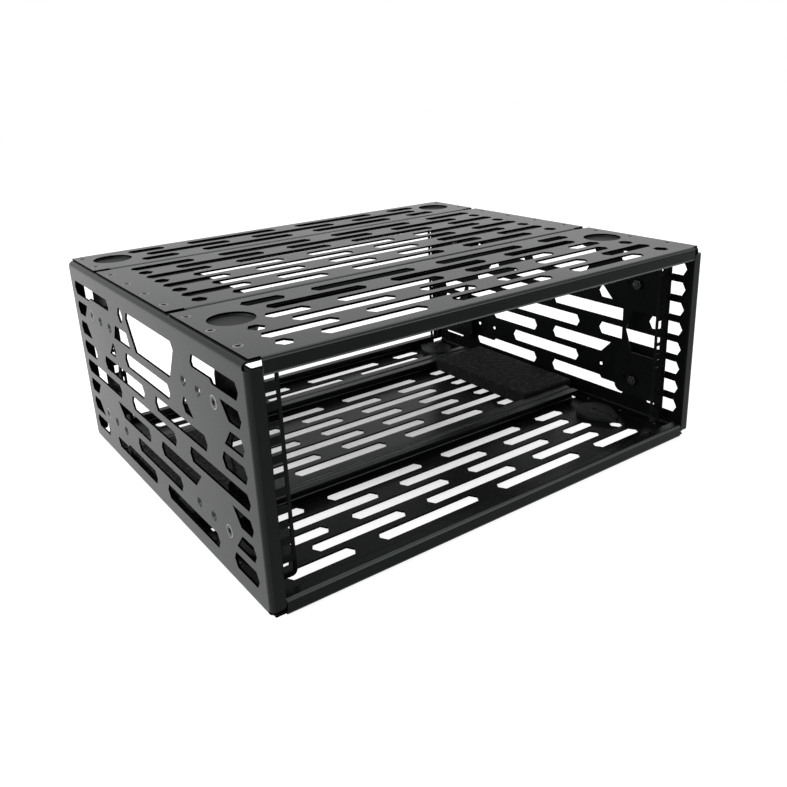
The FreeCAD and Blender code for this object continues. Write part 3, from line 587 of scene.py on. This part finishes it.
seatShape = {"segments": 42, "radius": 0.00521, "mouth": 0.0051, "bore": 0.0020, "depth": 0.0020, "lid": 0.0004,
             "bevel": 0.0001, "setBack": (0.097, 0.1275), "heights": (0.051, 0.165)}


def seatModel(shape):
    # a thin ring with its wide mouth up, at the origin
    seat = roundBar("seatModel", shape["segments"], shape["radius"], -shape["depth"], 0.0)
    deselectAll()
    bpy.ops.mesh.primitive_cone_add(vertices=shape["segments"], radius1=shape["bore"], radius2=shape["mouth"],
                                    depth=shape["depth"], location=(0, 0, -shape["depth"] / 2))
    cone = startPiece("seatCutter")
    bpy.ops.object.mode_set(mode="EDIT")
    pickFaces(cone, lambda middle, normal: abs(normal.z) > squareTurn)
    bpy.ops.mesh.extrude_faces_move(TRANSFORM_OT_shrink_fatten={"value": shape["lid"]})
    bpy.ops.object.mode_set(mode="OBJECT")
    cutAway(seat, cone)
    softEdges(seat, shape["bevel"], 1)
    seat.data.materials.append(seatShadeBlack)
    return seat


seat = seatModel(seatShape)
for side, sign in (("left", -1), ("right", 1)):
    turn = Matrix.Rotation(math.radians(90 * sign), 4, "Y")
    places = [Matrix.Translation((cadBox[1][0] * sign, y, z)) @ turn for back in seatShape["setBack"]
              for y in (-back, back) for z in seatShape["heights"]]
    rings = joinCopies(seat, side + "HoleSeats", places)
    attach(rings, "root")
bpy.data.objects.remove(seat)
print("hole seats made")


# Corner cups: a drop-shaped seat with three holes in line

cupShape = {
    "segments": 96, "head": 0.0215, "tail": 0.0075, "tailReach": 0.027, "height": 0.006,
    "recess": 0.02025, "recessDepth": 0.0013, "recessSegments": 72, "bevel": 0.0005,
    "holes": ((0.0, 0.0024), (0.012, 0.0017), (0.024, 0.0017)), "holeDepth": 0.003, "holeSegments": 28,
}


def cupModel(shape):
    # its head is at the origin, its tail towards -Y and its open side down
    deselectAll()
    bpy.ops.mesh.primitive_circle_add(vertices=shape["segments"], radius=shape["head"], fill_type="NGON")
    cup = startPiece("cupModel")
    slope = (shape["head"] - shape["tail"]) / shape["tailReach"]
    for vertex in cup.data.vertices:
        across, along = vertex.co.x / shape["head"], vertex.co.y / shape["head"]
        if along < -slope:
            vertex.co.x = shape["tail"] * across
            vertex.co.y = shape["tail"] * along - shape["tailReach"]
    bpy.ops.object.mode_set(mode="EDIT")
    bpy.ops.mesh.select_all(action="SELECT")
    bpy.ops.mesh.extrude_region_move(TRANSFORM_OT_translate={"value": (0, 0, shape["height"])})
    bpy.ops.mesh.select_all(action="SELECT")
    bpy.ops.mesh.normals_make_consistent(inside=False)
    bpy.ops.object.mode_set(mode="OBJECT")
    cutAway(cup, roundBar("recessCutter", shape["recessSegments"], shape["recess"],
                          -clearCut, shape["recessDepth"]))
    for along, radius in shape["holes"]:
        drill = roundBar("drill", shape["holeSegments"], radius,
                         shape["height"] - shape["holeDepth"], shape["height"] + clearCut)
        drill.data.transform(Matrix.Translation((0, -along, 0)))
        cutAway(cup, drill)
    softEdges(cup, shape["bevel"], 2)
    cup.data.materials.append(cupBlack)
    return cup


cupTurns = {
    ("bottom", "front"): Matrix(), ("bottom", "rear"): Matrix.Rotation(math.pi, 4, "Z"),
    ("top", "front"): Matrix.Rotation(math.pi, 4, "Y"), ("top", "rear"): flipped,
}
cup = cupModel(cupShape)
for (level, end), turn in cupTurns.items():
    for side in sides:
        node = f"{level}_{end}_{side}_cup"
        low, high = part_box(node)
        headY = high.y - cupShape["head"] if end == "front" else low.y + cupShape["head"]
        openSide = low.z if level == "bottom" else high.z
        setCopies(cup, node, [Matrix.Translation(((low.x + high.x) / 2, headY, openSide)) @ turn])
bpy.data.objects.remove(cup)
print("corner cups made")


# Foam pads, rebated along the outer edge, pitted and slightly crowned on the free side

padShape = {
    "inset": 0.0012, "round": 0.0020, "roundSegments": 3, "rebateWidth": 0.0112, "rebateHeight": 0.0036,
    "voxel": 0.0019, "swell": 0.0004, "pits": 0.0005, "pitScale": 260.0, "finePitScale": 610.0,
    "finePitShare": 0.6, "fill": 0.95,
}


def foamPad(node, shape):
    low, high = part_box(node)
    middle = (low + high) / 2
    half = (high - low) / 2
    overhead = middle.z > cadBox[1][2] / 2
    outward = 1 if middle.x > 0 else -1
    deselectAll()
    bpy.ops.mesh.primitive_cube_add(size=1.0, location=middle)
    bpy.context.active_object.scale = high - low - Vector([shape["inset"]] * 3)
    pad = startPiece(pieceName(node))
    restingSide = high.z if overhead else low.z
    deselectAll()
    bpy.ops.mesh.primitive_cube_add(size=1.0, location=(middle.x + outward * half.x, middle.y, restingSide))
    bpy.context.active_object.scale = (2 * shape["rebateWidth"], 4 * half.y, 2 * shape["rebateHeight"])
    cutAway(pad, startPiece("rebateCutter"))
    applyModifier(pad, "BEVEL", width=shape["round"], segments=shape["roundSegments"])
    applyModifier(pad, "REMESH", mode="VOXEL", voxel_size=shape["voxel"])
    for vertex in pad.data.vertices:
        place = vertex.co
        across, along = (place.x - middle.x) / half.x, (place.y - middle.y) / half.y
        crown = max(0.0, 1 - across ** 2) * max(0.0, 1 - along ** 2)
        pit = (noise.noise(place * shape["pitScale"])
               + shape["finePitShare"] * noise.noise(place * shape["finePitScale"]))
        free = place.z < middle.z if overhead else place.z > middle.z
        lift = Vector((0, 0, -1 if overhead else 1)) * (shape["swell"] * math.sqrt(crown) if free else 0.0)
        place += lift - vertex.normal * abs(pit) * shape["pits"]
    deselectAll()
    pad.select_set(True)
    bpy.context.view_layer.objects.active = pad
    bpy.ops.object.shade_smooth()
    pad.data.materials.append(foamBlack)
    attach(pad, "root")
    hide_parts(node)


for side in sides:
    foamPad(side + "_foam_pad", padShape)
    foamPad(f"top_{side}_foam_pad", padShape)
print("foam pads made")


# Floor, light and camera

def whiteForCamera(tree, seen, hidden):
    # one shader for what the camera and reflections see, another for the light that reaches the object
    path = tree.nodes.new("ShaderNodeLightPath")
    direct = addMath(tree, "MAXIMUM", path.outputs["Is Camera Ray"], path.outputs["Is Transmission Ray"])
    shown = addMath(tree, "MAXIMUM", direct, path.outputs["Is Glossy Ray"])
    mix = tree.nodes.new("ShaderNodeMixShader")
    tree.links.new(shown, mix.inputs["Fac"])
    tree.links.new(hidden, mix.inputs[1])
    tree.links.new(seen, mix.inputs[2])
    return mix.outputs["Shader"]


stageValues = {
    "floorSize": 12.0, "glow": 0.86, "shadeGlow": 0.30, "shadeMiddle": (0.0, 0.06, 0.0),
    "shadeReach": (0.10, 0.27), "shadowGrey": (0.45, 0.45, 0.45), "floorGrey": (0.7, 0.7, 0.7),
    "white": (1.0, 1.0, 1.0), "worldStrength": 0.3,
}


def addFloor(values):
    deselectAll()
    bpy.ops.mesh.primitive_plane_add(size=values["floorSize"], location=(0, 0, cadBox[0][2]))
    floor = startPiece("floor")
    material, tree, surface = newMaterial("paleFloor")
    tree.nodes.remove(surface)
    coords = tree.nodes.new("ShaderNodeTexCoord").outputs["Object"]
    away = tree.nodes.new("ShaderNodeVectorMath")
    away.operation = "DISTANCE"
    away.inputs[1].default_value = values["shadeMiddle"]
    tree.links.new(coords, away.inputs[0])
    # painted shadow: the floor's glow is turned down within a fixed distance of a point under the middle of the
    # frame
    glow = tree.nodes.new("ShaderNodeEmission")  # dimmer where the frame keeps the light off
    strength = addRange(tree, away.outputs["Value"], *values["shadeReach"], values["shadeGlow"], values["glow"])
    tree.links.new(strength, glow.inputs["Strength"])
    catcher = tree.nodes.new("ShaderNodeBsdfDiffuse")
    feed(tree, values["shadowGrey"], catcher.inputs["Color"])
    seen = tree.nodes.new("ShaderNodeAddShader")
    tree.links.new(glow.outputs["Emission"], seen.inputs[0])
    tree.links.new(catcher.outputs["BSDF"], seen.inputs[1])
    plain = tree.nodes.new("ShaderNodeBsdfDiffuse")
    feed(tree, values["floorGrey"], plain.inputs["Color"])
    output = tree.nodes["Material Output"]
    tree.links.new(whiteForCamera(tree, seen.outputs["Shader"], plain.outputs["BSDF"]), output.inputs["Surface"])
    floor.data.materials.append(material)


def addWorld(values):
    world = bpy.data.worlds.new("studio")
    scene.world = world
    world.use_nodes = True
    tree = world.node_tree
    dim = tree.nodes["Background"]
    white = tree.nodes.new("ShaderNodeBackground")
    for node, strength in ((dim, values["worldStrength"]), (white, 1.0)):
        feed(tree, values["white"], node.inputs["Color"])
        feed(tree, strength, node.inputs["Strength"])
    output = tree.nodes["World Output"]
    tree.links.new(whiteForCamera(tree, white.outputs["Background"], dim.outputs["Background"]),
                   output.inputs["Surface"])


def addLamp(name, place, aim, width, height, power):
    data = bpy.data.lights.new(name, "AREA")
    data.shape = "RECTANGLE"
    data.size = width
    data.size_y = height
    data.energy = power
    lamp = bpy.data.objects.new(name, data)
    scene.collection.objects.link(lamp)
    direction = Vector(aim) - Vector(place)
    lamp.matrix_world = Matrix.Translation(place) @ direction.to_track_quat("-Z", "Y").to_matrix().to_4x4()


lamps = {
    "leftSoftbox": {"place": (-2.3, 0.2, 0.9), "aim": (-0.26, 0.0, 0.1), "width": 2.2, "height": 1.4,
                    "power": 60.0},
    "overhead": {"place": (0.2, 0.7, 2.2), "aim": (0.0, 0.0, 0.2), "width": 2.4, "height": 1.8, "power": 34.0},
    "frontFill": {"place": (1.3, -2.4, 0.9), "aim": (0.1, -0.2, 0.05), "width": 1.2, "height": 0.8,
                  "power": 5.0},
}

cameraView = {
    "place": (-0.477026, -0.715739, 0.403252), "turn": (70.41881, 2.09792, -36.48962), "lens": 37.11,
    "shift": (-0.0184618, -0.0492395), "nearest": 0.01,
}


def addCamera(view):
    data = bpy.data.cameras.new("photoCamera")
    data.lens = view["lens"]
    data.shift_x, data.shift_y = view["shift"]
    data.clip_start = view["nearest"]
    camera = bpy.data.objects.new("photoCamera", data)
    scene.collection.objects.link(camera)
    camera.location = view["place"]
    camera.rotation_euler = [math.radians(angle) for angle in view["turn"]]
    scene.camera = camera


addFloor(stageValues)
addWorld(stageValues)
for lampName, lampValues in lamps.items():
    addLamp(lampName, **lampValues)
addCamera(cameraView)
print("stage, lamps and camera set")
